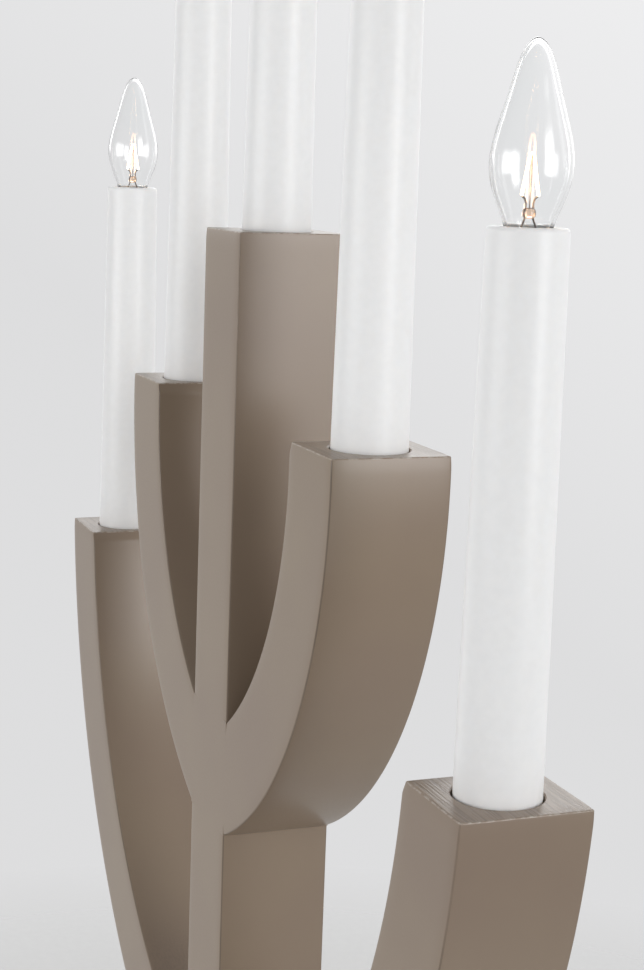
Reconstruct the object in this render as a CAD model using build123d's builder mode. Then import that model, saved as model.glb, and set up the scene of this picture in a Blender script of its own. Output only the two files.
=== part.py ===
from build123d import *
import os
from math import acos, asin, cos, sin, sqrt

# A five-light electric candle arch: a centre post carries two pairs of curved arms, and each of
# the five tops holds a plastic candle with a small screw-in flame bulb. Millimetres, +Z up.
# The origin is on the table under the middle of the base, X runs across the arch and -Y is its front.

# Driving dimensions of the woodwork
pad_height = 2.0
pad_diameter = 16.0
pad_inset = 14.0  # pad centre to the base's sides
base_width = 190.0
base_depth = 80.0
base_height = 18.0
post_width = 28.5
post_height = 303.0
wood_depth = 30.0  # post and arms are flush, front and back
arm_width = 27.5
arris = 0.6  # small chamfer on the wood's free edges

# Each arm is a band about an arc whose centre lies past the post's axis. A stem is the free length of
# the post's side below an arm: from the base to the outer arm, and from the outer arm to the inner one.
outer_stem = 33.75
outer_arc_radius = 171.5
outer_arc_past = 28.5
outer_top_below = 17.0  # arm's top below its arc's centre
inner_stem = 81.06
inner_arc_radius = 105.6
inner_arc_past = 37.0
inner_top_above = 5.0  # arm's top above its arc's centre

# Joinery
dowel_diameter = 8.0
dowel_grip = 14.0  # length inside each arm
dowel_end_gap = 1.0
dowel_spacing = 12.0
dowel_forward = 4.0  # towards the front, clear of the wiring
screw_diameter = 4.5
screw_head_diameter = 9.0
screw_grip = 30.0  # length inside the post
screw_spacing = 14.0
screw_forward = 3.0
screw_play = 0.25

# Candle: a tapered tube, closed on top but for the bulb's hole, standing in a bored seat
candle_height = 113.5  # above the wood
candle_foot_diameter = 18.5
candle_top_diameter = 16.2
candle_wall = 1.2
candle_top_wall = 1.5
candle_rim_radius = 0.9
candle_play = 0.3
seat_depth = 12.0
well_diameter = 12.0
well_depth = 9.0

# Screw-in flame bulb, ten-millimetre Edison thread
bulb_height = 35.4  # above the candle
bulb_belly_diameter = 17.9  # where the lines of the flare and of the cone meet
bulb_belly_height = 11.2
bulb_belly_radius = 14.0
bulb_flare_height = 1.2  # where the line of the flare leaves the neck
bulb_flare_radius = 4.0
bulb_tip_diameter = 4.6  # of the cone, at the height of the tip
bulb_tip_radius = 2.8
bulb_neck_diameter = 9.8
bulb_neck_drop = 2.0
bulb_neck_play = 0.4
glass_wall = 0.6
glass_floor = 1.0
cap_diameter = 9.5
cap_wall = 0.4
cap_length = 9.0
cap_rim_grip = 3.0  # glass inside the cap
thread_pitch = 1.81
thread_depth = 0.35
thread_turns = 3
contact_diameter = 4.0
contact_height = 1.5

# Mount inside the bulb: two lead wires and a hook through a glass bead, with a bent filament
lead_diameter = 0.5
lead_foot_spread = 3.4
lead_tip_spread = 3.4
lead_tip_height = 5.6  # above the candle
bead_diameter = 3.0
bead_length = 2.2
bead_height = 0.4  # lower edge, above the candle
filament_diameter = 0.4
filament_height = 8.2
filament_top_spread = 1.4
filament_bend = 0.45
filament_gap = 0.1

# Lampholder inside the candle's top
shell_play = 0.15
shell_wall = 0.4
shell_length = 8.0
shell_drop = 2.6  # below the candle's top
holder_wall = 1.3
holder_floor = 2.0
spring_thickness = 0.4
spring_width = 3.0
spring_length = 5.0
spring_gap = 0.3
spring_rise = 1.2

# Wiring: one series loop of single wires in grooves routed in the back
wire_diameter = 1.6
wire_play = 0.3
wire_lane = 1.25  # half the distance between two wires in one groove
wire_bend = 6.0
wire_end_gap = 0.5
well_bend = 4.0
well_entry = 3.0  # wires above the well's floor
inlet_bend = 3.0
groove_width = 5.0
groove_depth = 4.0
slot_width = 8.0
junction_diameter = 23.0
junction_reach = 10.0  # wires are straight this far from the post's axis

# Cord inlet in the base's back edge
inlet_bore = 5.6
grommet_diameter = 9.0
grommet_length = 8.0
grommet_flange_diameter = 12.0
grommet_flange = 1.5

# Heights and places that follow
base_top = pad_height + base_height
post_top = base_top + post_height
back = wood_depth / 2
post_side = post_width / 2
groove_floor = back - groove_depth
wire_y = groove_floor + wire_play + wire_diameter / 2
tunnel_z = pad_height + base_height / 2
seat_radius = candle_foot_diameter / 2 + candle_play
candle_length = candle_height + seat_depth
os.makedirs("parts", exist_ok=True)


def finish(part, label):
    """Name a finished piece and write its file."""
    part.label = label
    export_step(part, f"parts/{label}.step")


class Arm:
    """One pair of arms: the arc's place and the sizes that follow from it."""

    def __init__(self, foot, radius, past, top_rise):
        """foot is the height of the band's lower edge at the post's side."""
        self.radius = radius
        self.centre_x = -past
        self.centre_z = foot + sqrt((radius + arm_width / 2) ** 2 - (post_side + past) ** 2)
        self.top = self.centre_z + top_rise
        self.candle_x = self.x_at(radius, self.top)
        self.entry_z = self.top - seat_depth - well_depth + well_entry

    def x_at(self, radius, z):
        """Distance from the post's axis of the arc with this radius, at height z."""
        return self.centre_x + sqrt(radius**2 - (z - self.centre_z) ** 2)

    def z_at(self, radius, x):
        """Height of the arc's lower half at distance x from the post's axis."""
        return self.centre_z - sqrt(radius**2 - (x - self.centre_x) ** 2)

    def dowel_z(self):
        """Middle of the stretch that a level dowel finds inside the band."""
        low = self.z_at(self.radius + arm_width / 2, post_side + dowel_grip)
        high = self.z_at(self.radius - arm_width / 2, post_side)
        return (low + high) / 2

    def dowel_places(self):
        """Heights of the two dowels of this pair."""
        return [self.dowel_z() + k * dowel_spacing / 2 for k in (-1, 1)]

    def wire_route(self, side, lane):
        """Corner points and bend radii of a wire from the post's groove to the candle's well.

        lane is 1 on the arc's outer lane and -1 on its inner lane. The wire leaves the post on a
        tangent to the lane's arc, follows the arc, and turns into the well and up to the seat.
        """
        radius = self.radius + lane * wire_lane
        start = -acos((junction_reach - self.centre_x) / radius)
        end = asin((self.entry_z - well_bend - wire_bend - self.centre_z) / radius)
        middle = (start + end) / 2
        reach = radius / cos((end - start) / 2)
        start_x = self.centre_x + radius * cos(start)
        start_z = self.centre_z + radius * sin(start)
        end_x = self.centre_x + radius * cos(end)
        end_z = self.centre_z + radius * sin(end)
        post_z = start_z + (start_x - wire_lane) * cos(start) / sin(start)
        entry_x = end_x - (self.entry_z - end_z) * sin(end) / cos(end)
        points = [
            (side * wire_lane, wire_y, post_z),
            (side * (self.centre_x + reach * cos(middle)), wire_y, self.centre_z + reach * sin(middle)),
            (side * entry_x, wire_y, self.entry_z),
            (side * entry_x, 0, self.entry_z),
            (side * entry_x, 0, self.top - seat_depth - wire_end_gap),
        ]
        return points, [wire_bend, radius, wire_bend, well_bend]


outer_arm = Arm(base_top + outer_stem, outer_arc_radius, outer_arc_past, -outer_top_below)
inner_foot = outer_arm.z_at(outer_arm.radius - arm_width / 2, post_side) + inner_stem
inner_arm = Arm(inner_foot, inner_arc_radius, inner_arc_past, inner_top_above)
arms = {"inner": inner_arm, "outer": outer_arm}
sides = {"left": -1, "right": 1}

# Name, distance across and height of the wood under each candle
lights = [
    ("outer_left", -outer_arm.candle_x, outer_arm.top),
    ("inner_left", -inner_arm.candle_x, inner_arm.top),
    ("centre", 0, post_top),
    ("inner_right", inner_arm.candle_x, inner_arm.top),
    ("outer_right", outer_arm.candle_x, outer_arm.top),
]


def front_plane(x, y, z):
    """Plane whose axes are X and Z, with its origin at the point given."""
    return Plane(origin=(x, y, z), x_dir=(1, 0, 0), z_dir=(0, -1, 0))


def arc_band(arm, side, width, x_from, x_to, z_to):
    """Sketch: the arm's arc as a band of this width, kept between two distances and below z_to."""
    low = arm.centre_z - arm.radius - width
    with Locations((side * arm.centre_x, arm.centre_z)):
        Circle(arm.radius + width / 2)
        Circle(arm.radius - width / 2, mode=Mode.SUBTRACT)
    with Locations((side * (x_from + x_to) / 2, (low + z_to) / 2)):
        Rectangle(x_to - x_from, z_to - low, mode=Mode.INTERSECT)


def cut_candle_seat(x, top):
    """Cut the candle's bored seat, with the narrower well for its wires below."""
    with Locations((x, 0, top)):
        CounterBoreHole(well_diameter / 2, seat_radius, seat_depth, seat_depth + well_depth)


def cut_wire_slot(x, entry_z):
    """Cut the slot from the back groove through to the well."""
    low = entry_z - well_bend - wire_bend
    high = entry_z + wire_diameter / 2 + wire_play
    with Locations((x, back / 2, (low + high) / 2)):
        Box(slot_width, back, high - low, mode=Mode.SUBTRACT)


# Base: drilled for the post's screws, and from the back edge for the wires
with BuildPart() as base:
    with Locations((0, 0, pad_height + base_height / 2)):
        Box(base_width, base_depth, base_height)
    chamfer(base.edges(), arris)
    with Locations(Plane((0, -screw_forward, pad_height), z_dir=(0, 0, -1))):
        with GridLocations(screw_spacing, 0, 2, 1):
            CounterSinkHole(screw_diameter / 2 + screw_play, screw_head_diameter / 2 + screw_play)
    with Locations((0, (groove_floor + back) / 2, (tunnel_z + base_top) / 2)):
        Box(groove_width, back - groove_floor, base_top - tunnel_z, mode=Mode.SUBTRACT)
    with BuildSketch(front_plane(0, base_depth / 2, tunnel_z)):
        Circle(grommet_diameter / 2)
    extrude(amount=base_depth / 2 - groove_floor, mode=Mode.SUBTRACT)
    with BuildSketch(front_plane(0, base_depth / 2, tunnel_z)):
        Circle(grommet_flange_diameter / 2)
    extrude(amount=grommet_flange, mode=Mode.SUBTRACT)
finish(base.part, "base")

# Four felt pads under the base's corners
with BuildPart() as foot_pads:
    pad_span_x = base_width - 2 * pad_inset
    pad_span_y = base_depth - 2 * pad_inset
    with GridLocations(pad_span_x, pad_span_y, 2, 2):
        Cylinder(pad_diameter / 2, pad_height, align=(Align.CENTER, Align.CENTER, Align.MIN))
finish(foot_pads.part, "foot_pads")

# Two countersunk screws from below hold the post
screw_head_height = (screw_head_diameter - screw_diameter) / 2
with BuildPart() as base_screws:
    with Locations((0, -screw_forward, pad_height)):
        with GridLocations(screw_spacing, 0, 2, 1):
            Cone(
                screw_head_diameter / 2,
                screw_diameter / 2,
                screw_head_height,
                align=(Align.CENTER, Align.CENTER, Align.MIN),
            )
            Cylinder(
                screw_diameter / 2,
                base_height + screw_grip,
                align=(Align.CENTER, Align.CENTER, Align.MIN),
            )
finish(base_screws.part, "base_screws")

# Rubber bush in the base's back edge, where the supply cord enters
with BuildPart() as inlet_grommet:
    with BuildSketch(front_plane(0, base_depth / 2, tunnel_z)):
        Circle(grommet_diameter / 2)
    extrude(amount=grommet_length)
    with BuildSketch(front_plane(0, base_depth / 2, tunnel_z)):
        Circle(grommet_flange_diameter / 2)
    extrude(amount=grommet_flange)
    with BuildSketch(front_plane(0, base_depth / 2, tunnel_z)):
        Circle(inlet_bore / 2)
    extrude(amount=grommet_length, mode=Mode.SUBTRACT)
finish(inlet_grommet.part, "inlet_grommet")

# Centre post: candle seat on top, grooves in the back, dowel holes across and screw holes below.
# Its edges are softened but for the stretches where the arms are flush with it.
centre_entry_z = post_top - seat_depth - well_depth + well_entry
with BuildPart() as centre_post:
    with Locations((0, 0, base_top + post_height / 2)):
        Box(post_width, wood_depth, post_height)
    free_edges = centre_post.edges().filter_by(Axis.Z) + centre_post.edges().group_by(Axis.Z)[-1]
    chamfer(free_edges, arris)
    for arm in arms.values():
        low = arm.z_at(arm.radius + arm_width / 2, post_side)
        high = arm.z_at(arm.radius - arm_width / 2, post_side)
        with Locations((0, 0, (low + high) / 2)):
            Box(post_width, wood_depth, high - low)
    cut_candle_seat(0, post_top)
    cut_wire_slot(0, centre_entry_z)
    with BuildSketch(front_plane(0, back, 0)):
        with Locations((0, (base_top + centre_entry_z) / 2)):
            Rectangle(groove_width, centre_entry_z - base_top)
    extrude(amount=groove_depth, mode=Mode.SUBTRACT)
    for arm in arms.values():
        with BuildSketch(front_plane(0, back, 0)):
            with Locations((0, arm.z_at(arm.radius, 0))):
                Circle(junction_diameter / 2)
        extrude(amount=groove_depth, mode=Mode.SUBTRACT)
        for side in sides.values():
            with BuildSketch(front_plane(0, back, 0)):
                arc_band(arm, side, groove_width, 0, post_side, arm.centre_z)
            extrude(amount=groove_depth, mode=Mode.SUBTRACT)
        for z in arm.dowel_places():
            with Locations(Location((0, -dowel_forward, z), (0, 90, 0))):
                Cylinder(dowel_diameter / 2, post_width, mode=Mode.SUBTRACT)
    with Locations((0, -screw_forward, base_top)):
        with GridLocations(screw_spacing, 0, 2, 1):
            Cylinder(
                screw_diameter / 2,
                screw_grip,
                align=(Align.CENTER, Align.CENTER, Align.MIN),
                mode=Mode.SUBTRACT,
            )
finish(centre_post.part, "centre_post")

# Curved arms, inner and outer, left and right
for arm_name, arm in arms.items():
    for side_name, side in sides.items():
        with BuildPart() as curved_arm:
            far = arm.centre_x + arm.radius + arm_width
            with BuildSketch(front_plane(0, back, 0)):
                arc_band(arm, side, arm_width, post_side, far, arm.top)
            extrude(amount=wood_depth)
            joint_edges = curved_arm.faces().sort_by(Axis.X)[-1 if side < 0 else 0].edges()
            chamfer(curved_arm.edges() - joint_edges, arris)
            cut_candle_seat(side * arm.candle_x, arm.top)
            cut_wire_slot(side * arm.x_at(arm.radius, arm.entry_z), arm.entry_z)
            with BuildSketch(front_plane(0, back, 0)):
                arc_band(arm, side, groove_width, post_side, far, arm.entry_z)
            extrude(amount=groove_depth, mode=Mode.SUBTRACT)
            hole_x = side * (post_side + (dowel_grip + dowel_end_gap) / 2)
            for z in arm.dowel_places():
                with Locations(Location((hole_x, -dowel_forward, z), (0, 90, 0))):
                    Cylinder(dowel_diameter / 2, dowel_grip + dowel_end_gap, mode=Mode.SUBTRACT)
        finish(curved_arm.part, f"{arm_name}_arm_{side_name}")

# Four dowels: each runs through the post into the arm on either side
with BuildPart() as arm_dowels:
    for arm in arms.values():
        for z in arm.dowel_places():
            with Locations(Location((0, -dowel_forward, z), (0, 90, 0))):
                Cylinder(dowel_diameter / 2, post_width + 2 * dowel_grip)
finish(arm_dowels.part, "arm_dowels")


def lay_wire(points, bends):
    """Sweep one wire along straight runs joined by tangent arcs."""
    with BuildLine() as route:
        FilletPolyline(*points, radius=bends)
    with BuildSketch(Plane(origin=route.line @ 0, z_dir=route.line % 0)) as section:
        Circle(wire_diameter / 2)
    sweep(section.sketch, path=route.line)


# Supply wires: from the cord inlet up the post to the candles of the outer arms
with BuildPart() as supply_wires:
    for side in sides.values():
        arm_points, arm_bends = outer_arm.wire_route(side, 1)
        inlet_end = base_depth / 2 - grommet_length - wire_end_gap
        base_points = [
            (side * wire_lane, inlet_end, tunnel_z),
            (side * wire_lane, wire_y, tunnel_z),
        ]
        lay_wire(base_points + arm_points, [inlet_bend] + arm_bends)
finish(supply_wires.part, "supply_wires")

# Link wires: from outer to inner candle, and from inner candle to the centre one, on each side
with BuildPart() as link_wires:
    for side in sides.values():
        from_points, from_bends = outer_arm.wire_route(side, -1)
        to_points, to_bends = inner_arm.wire_route(side, 1)
        lay_wire(from_points[::-1] + to_points, from_bends[::-1] + to_bends)
        from_points, from_bends = inner_arm.wire_route(side, -1)
        centre_points = [
            (side * wire_lane, wire_y, centre_entry_z),
            (side * wire_lane, 0, centre_entry_z),
            (side * wire_lane, 0, post_top - seat_depth - wire_end_gap),
        ]
        lay_wire(from_points[::-1] + centre_points, from_bends[::-1] + [wire_bend, well_bend])
finish(link_wires.part, "link_wires")


def flame_outline(inset):
    """Line: the bulb's outline from the neck to the tip, moved in by inset.

    A straight neck, flare and cone are joined by tangent arcs, and the cone ends in a round tip.
    """
    FilletPolyline(
        (bulb_neck_diameter / 2 - inset, 0),
        (bulb_neck_diameter / 2 - inset, bulb_flare_height),
        (bulb_belly_diameter / 2 - inset, bulb_belly_height),
        (bulb_tip_diameter / 2 - inset / 2, bulb_height - inset),
        (0, bulb_height - inset),
        radius=[bulb_flare_radius + inset, bulb_belly_radius - inset, bulb_tip_radius - inset],
    )


# Levels inside the candle, measured from its top
cap_top = -bulb_neck_drop
cap_bottom = cap_top - cap_length
contact_bottom = cap_bottom - contact_height
holder_top = -candle_top_wall
spring_bottom = contact_bottom - spring_thickness - spring_rise
holder_inside = spring_bottom - spring_gap
holder_bottom = holder_inside - holder_floor
shell_inner = cap_diameter / 2 + shell_play
shell_outer = shell_inner + shell_wall
cap_inner = cap_diameter / 2 - cap_wall
glass_bottom = cap_top - cap_rim_grip
hole_radius = bulb_neck_diameter / 2 + bulb_neck_play
filament_foot = lead_tip_height + lead_diameter / 2 + filament_gap
filament_top = lead_tip_height + filament_height

# The five lights, all alike
for name, x, wood_top in lights:
    rim = wood_top + candle_height
    seat = wood_top - seat_depth
    axis = Axis((x, 0, rim), (0, 0, 1))
    profile_plane = front_plane(x, 0, rim)

    with BuildPart() as candle_tube:
        with BuildSketch(profile_plane):
            with BuildLine():
                Polyline(
                    (hole_radius, 0),
                    (candle_top_diameter / 2, 0),
                    (candle_foot_diameter / 2, -candle_length),
                    (candle_foot_diameter / 2 - candle_wall, -candle_length),
                    (candle_top_diameter / 2 - candle_wall, -candle_top_wall),
                    (hole_radius, -candle_top_wall),
                    close=True,
                )
            make_face()
        revolve(axis=axis)
        rim_edge = candle_tube.edges().group_by(Axis.Z)[-1].sort_by(SortBy.RADIUS)[-1]
        fillet(rim_edge, candle_rim_radius)
    finish(candle_tube.part, f"candle_tube_{name}")

    with BuildPart() as lampholder:
        with BuildSketch(Plane((x, 0, rim + holder_bottom))):
            Circle(shell_outer + holder_wall)
        extrude(amount=holder_top - holder_bottom)
        with BuildSketch(Plane((x, 0, rim + holder_inside))):
            Circle(shell_outer)
        extrude(amount=holder_top - holder_inside, mode=Mode.SUBTRACT)
    finish(lampholder.part, f"lampholder_{name}")

    with BuildPart() as holder_shell:
        with BuildSketch(Plane((x, 0, rim - shell_drop))):
            Circle(shell_outer)
            Circle(shell_inner, mode=Mode.SUBTRACT)
        extrude(amount=-shell_length)
    finish(holder_shell.part, f"holder_shell_{name}")

    with BuildPart() as candle_leads:
        with BuildSketch(Plane((x, 0, seat))):
            with GridLocations(2 * wire_lane, 0, 2, 1):
                Circle(wire_diameter / 2)
        extrude(amount=candle_length + holder_bottom)
    finish(candle_leads.part, f"candle_leads_{name}")

    with BuildPart() as spring_contact:
        with BuildSketch(front_plane(x, spring_width / 2, rim + spring_bottom)):
            with Locations((0, spring_thickness / 2)):
                Rectangle(spring_length, spring_thickness)
            with Locations((spring_length / 2 - spring_thickness / 2, spring_rise / 2 + spring_thickness / 2)):
                Rectangle(spring_thickness, spring_rise + spring_thickness)
            with Locations((0, spring_rise + spring_thickness / 2)):
                Rectangle(spring_length, spring_thickness)
        extrude(amount=spring_width)
    finish(spring_contact.part, f"spring_contact_{name}")

    with BuildPart() as bulb_cap:
        with BuildSketch(profile_plane):
            with BuildLine():
                Polyline(
                    (cap_inner, cap_top),
                    (cap_diameter / 2, cap_top),
                    (cap_diameter / 2, cap_bottom),
                    (contact_diameter / 2, contact_bottom),
                    (0, contact_bottom),
                    (0, glass_bottom),
                    (cap_inner, glass_bottom),
                    close=True,
                )
            make_face()
            for turn in range(thread_turns):
                with Locations((cap_diameter / 2, cap_bottom + (turn + 1) * thread_pitch)):
                    Circle(thread_depth, mode=Mode.SUBTRACT)
        revolve(axis=axis)
    finish(bulb_cap.part, f"bulb_cap_{name}")

    with BuildPart() as bulb_glass:
        with BuildSketch(profile_plane):
            with BuildLine():
                flame_outline(0)
                Polyline(
                    (bulb_neck_diameter / 2, 0),
                    (bulb_neck_diameter / 2, cap_top),
                    (cap_inner, cap_top),
                    (cap_inner, glass_bottom),
                    (0, glass_bottom),
                    (0, glass_bottom + glass_floor),
                    (cap_inner - glass_wall, glass_bottom + glass_floor),
                    (cap_inner - glass_wall, cap_top + glass_wall),
                    (bulb_neck_diameter / 2 - glass_wall, 0),
                )
                flame_outline(glass_wall)
                Line((0, bulb_height - glass_wall), (0, bulb_height))
            make_face()
        revolve(axis=axis)
    finish(bulb_glass.part, f"bulb_glass_{name}")

    with BuildPart() as bulb_mount:
        for side in sides.values():
            foot = (side * lead_foot_spread / 2, glass_bottom + glass_floor)
            bead = (side * bead_diameter / 4, bead_height)
            tip = (side * lead_tip_spread / 2, lead_tip_height)
            for start, end in ((foot, bead), (bead, tip)):
                lead_start = Vector(x, start[0], rim + start[1])
                lead_end = Vector(x, end[0], rim + end[1])
                with BuildSketch(Plane(origin=lead_start, z_dir=lead_end - lead_start)):
                    Circle(lead_diameter / 2)
                extrude(amount=(lead_end - lead_start).length)
        with BuildSketch(Plane((x, 0, rim + bead_height))):
            Circle(bead_diameter / 2)
        extrude(amount=bead_length)
        with BuildSketch(Plane((x, 0, rim + bead_height + bead_length))):
            Circle(lead_diameter / 2)
        hook_top = filament_top - filament_diameter / 2 - filament_gap
        extrude(amount=hook_top - bead_height - bead_length)
    finish(bulb_mount.part, f"bulb_mount_{name}")

    with BuildPart() as bulb_filament:
        with BuildLine() as bent:
            FilletPolyline(
                (x, -lead_tip_spread / 2, rim + filament_foot),
                (x, -filament_top_spread / 2, rim + filament_top),
                (x, filament_top_spread / 2, rim + filament_top),
                (x, lead_tip_spread / 2, rim + filament_foot),
                radius=filament_bend,
            )
        with BuildSketch(Plane(origin=bent.line @ 0, z_dir=bent.line % 0)):
            Circle(filament_diameter / 2)
        sweep(path=bent.line)
    finish(bulb_filament.part, f"bulb_filament_{name}")
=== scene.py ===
# %% [markdown]
# # A five-light electric candle arch
# A lacquered post carries two pairs of curved arms. Each of the five tops holds a white plastic candle
# with a clear flame bulb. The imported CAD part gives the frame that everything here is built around, and
# the pieces that a viewer looks at closely are built again as smooth surfaces with finished materials.

import bmesh
import bpy
import numpy as np
from mathutils import Matrix, Vector


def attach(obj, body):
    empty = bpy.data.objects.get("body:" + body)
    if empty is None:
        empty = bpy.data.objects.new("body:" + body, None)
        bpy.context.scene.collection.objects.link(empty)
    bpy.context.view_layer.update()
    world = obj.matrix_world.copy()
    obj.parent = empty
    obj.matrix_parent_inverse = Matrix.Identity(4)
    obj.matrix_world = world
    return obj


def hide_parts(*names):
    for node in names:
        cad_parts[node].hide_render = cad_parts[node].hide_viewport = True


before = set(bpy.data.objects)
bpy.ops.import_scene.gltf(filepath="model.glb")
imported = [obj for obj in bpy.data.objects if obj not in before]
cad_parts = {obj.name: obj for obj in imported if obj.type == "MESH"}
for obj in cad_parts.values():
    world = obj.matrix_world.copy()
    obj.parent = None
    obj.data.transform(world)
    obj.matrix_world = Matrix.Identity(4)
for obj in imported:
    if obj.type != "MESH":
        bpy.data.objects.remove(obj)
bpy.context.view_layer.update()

# %% [markdown]
# ## Sizes
# Lengths of the object are in millimetres, as on the part's drawing, and become metres when a mesh is
# made. An arm is a stretch of a circle whose centre lies past the post's axis, on the far side of it.

# %% Sizes of the woodwork and places of the candles
MM = 0.001
POST_HALF = 14.25  # half the post's width
ARM_HALF = 13.72  # half an arm's width, just inside the solid's
DEPTH_HALF = 15.0  # half the depth of post and arms
BASE_TOP = 20.0
POST_TOP = 323.0
ARRIS = 0.35  # radius of the softened edges
SANDED = (3.5, 0.15)  # how far from an edge sanding has rounded the faces, and how much it took off there
EASED = (1.2, 2.8, 2.0)  # width, height and fade of what is taken off an arm's top edge beside the post
SEAT_RADIUS = 9.55  # bored seat of a candle
SEAT_DEPTH = 12.0
SEAT_BEVEL = 0.3
WELL_RADIUS = 6.0  # narrower bore under the seat, where the wires come in
WELL_DEPTH = 21.0
ENTRY_DROP = 18.0  # the wires enter the well this far below the wood's top
GROOVE = (2.5, 4.0)  # half width and depth of the wire groove
SLOT = (4.0, 15.0)  # half width and depth of the slot from the groove into the well
SLOT_REACH = (10.0, 1.1)  # how far the slot runs below and above the wires' entry
RECESS_RADIUS = 11.5  # round recess in the post's back where the grooves meet
CANDLE_HEIGHT = 113.5  # from the wood's top to the candle's rim

# Each pair of arms: arc radius, how far its centre lies past the axis, height of the centre, arm top
ARMS = {
    "outer": (171.5, 28.5, 234.0, 217.0),
    "inner": (105.6, 37.0, 271.0, 276.0),
}
SIDES = {"left": -1, "right": 1}


def arc_x(arm, radius, z):
    """Distance from the post's axis where the arm's arc of this radius reaches height z."""
    _, past, centre_z, _ = ARMS[arm]
    return np.sqrt(radius**2 - (z - centre_z) ** 2) - past


def arc_z(arm, radius, x):
    """Height where the lower half of the arm's arc of this radius is x from the post's axis."""
    _, past, centre_z, _ = ARMS[arm]
    return centre_z - np.sqrt(radius**2 - (x + past) ** 2)


CANDLES = {"centre": (0.0, POST_TOP)}  # name: distance across and height of the wood under the candle
for arm, (radius, _, _, top) in ARMS.items():
    for side, sign in SIDES.items():
        CANDLES[f"{arm}_{side}"] = (sign * arc_x(arm, radius, top), top)
print("candles:", {name: tuple(round(float(v), 2) for v in place) for name, place in CANDLES.items()})

# %% [markdown]
# ## Surfaces from grids
# Every new piece is a grid of points: rings of points (the columns) carried along rows. The rings close
# on themselves, so a piece needs only its formula. Points that fall together, as at a pole, are merged.

# %% Mesh from grids
MERGED = 2e-6  # points closer than this, in metres, become one
SLIVER = 1e-7  # edges shorter than this, in metres, are taken out


def ring_faces(points, capped, first):
    """Corner numbers of the quads over one grid whose rows are closed rings.

    capped fills the first ring with one flat face. first is the number of the grid's first point.
    """
    rows, columns = points.shape[:2]
    row = np.arange(rows - 1)[:, None]
    column = np.arange(columns)[None, :]
    after = (column + 1) % columns
    below = first + row * columns
    above = below + columns
    corners = np.broadcast_arrays(below + column, below + after, above + after, above + column)
    faces = np.stack(corners, axis=-1).reshape(-1, 4).tolist()
    return faces + ([list(range(first + columns - 1, first - 1, -1))] if capped else [])


def piece(name, body, surface, grids, stands_for=(), capped=False, sharp=35, marks=None):
    """Make one object from grids of points in millimetres, and let it ride its body.

    Edges that turn by more than sharp degrees stay sharp. marks is one number per point, kept in the
    mesh as "mark" for the piece's material to read.
    """
    vertices = []
    faces = []
    for points in grids:
        faces += ring_faces(points, capped, len(vertices))
        vertices += (points.reshape(-1, 3) * MM).tolist()
    mesh = bpy.data.meshes.new(name)
    mesh.from_pydata(vertices, [], faces)
    if marks is not None:
        mark = mesh.attributes.new("mark", "FLOAT", "POINT")
        mark.data.foreach_set("value", marks.astype(np.float32).ravel())
    work = bmesh.new()
    work.from_mesh(mesh)
    bmesh.ops.remove_doubles(work, verts=work.verts, dist=MERGED)
    bmesh.ops.dissolve_degenerate(work, edges=work.edges, dist=SLIVER)
    work.to_mesh(mesh)
    work.free()
    mesh.shade_smooth()
    mesh.set_sharp_from_angle(angle=np.radians(sharp))
    mesh.materials.append(surface)
    obj = bpy.data.objects.new(name, mesh)
    bpy.context.scene.collection.objects.link(obj)
    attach(obj, body)
    if stands_for:
        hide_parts(*stands_for)
    print(name, "faces:", len(mesh.polygons))


# %% [markdown]
# Three formulas make the grids of the round pieces: a line of straight runs with rounded corners, a
# profile turned about an upright axis as on a lathe, and a round wire along a path.

# %% Rounded lines, turned pieces and wires
def rounded_path(points, radii, steps=10):
    """Points along straight runs joined by arcs.

    At each inner corner a circle of the given radius touches both runs. Its centre lies on the line that
    halves the corner, and the arc is the stretch of the circle between the two touching points.
    """
    corner = np.asarray(points, float)
    radius = np.reshape(np.broadcast_to(radii, len(corner) - 2), (-1, 1)).astype(float)
    runs = np.diff(corner, axis=0)
    runs /= np.linalg.norm(runs, axis=1, keepdims=True)
    into = runs[:-1]
    out = runs[1:]
    half_turn = np.arccos(np.clip((into * out).sum(1, keepdims=True), -1, 1)) / 2
    inward = (out - into) / np.linalg.norm(out - into, axis=1, keepdims=True)
    along = (out + into) / np.linalg.norm(out + into, axis=1, keepdims=True)
    centre = corner[1:-1] + inward * radius / np.cos(half_turn)
    angle = np.linspace(-1, 1, steps)[None, :, None] * half_turn[:, None]
    spoke = along[:, None] * np.sin(angle) - inward[:, None] * np.cos(angle)
    arc = centre[:, None] + radius[:, None] * spoke
    return np.concatenate([corner[:1], arc.reshape(-1, corner.shape[1]), corner[-1:]])


def revolve(profile, x, z, columns=96):
    """Grid of a profile (distance from its axis, height) turned about an upright axis at x, raised by z."""
    angle = np.linspace(0, 2 * np.pi, columns, endpoint=False)
    distance, height = profile[:, :1], profile[:, 1:]
    across = x + distance * np.cos(angle)
    along = distance * np.sin(angle)
    return np.stack([across, along, z + height + 0 * angle], axis=-1)


def tube(path, radius, guide, columns=10):
    """Grid of a round wire along a path, with closed ends.

    At each point of the path a circle stands square to it. The guide is a direction, or one per point,
    that isn't along the path: its part square to the path sets where the circle's angle is nought.
    """
    path = np.asarray(path, float)
    forward = np.gradient(path, axis=0)
    forward /= np.linalg.norm(forward, axis=1, keepdims=True)
    guide = np.broadcast_to(np.asarray(guide, float), path.shape)
    first = guide - (guide * forward).sum(1, keepdims=True) * forward
    first /= np.linalg.norm(first, axis=1, keepdims=True)
    second = np.cross(forward, first)
    angle = np.linspace(0, 2 * np.pi, columns, endpoint=False)[None, :, None]
    rings = path[:, None] + radius * (first[:, None] * np.cos(angle) + second[:, None] * np.sin(angle))
    start = np.repeat(path[:1, None], columns, axis=1)
    end = np.repeat(path[-1:, None], columns, axis=1)
    return np.concatenate([start, rings, end])


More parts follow.
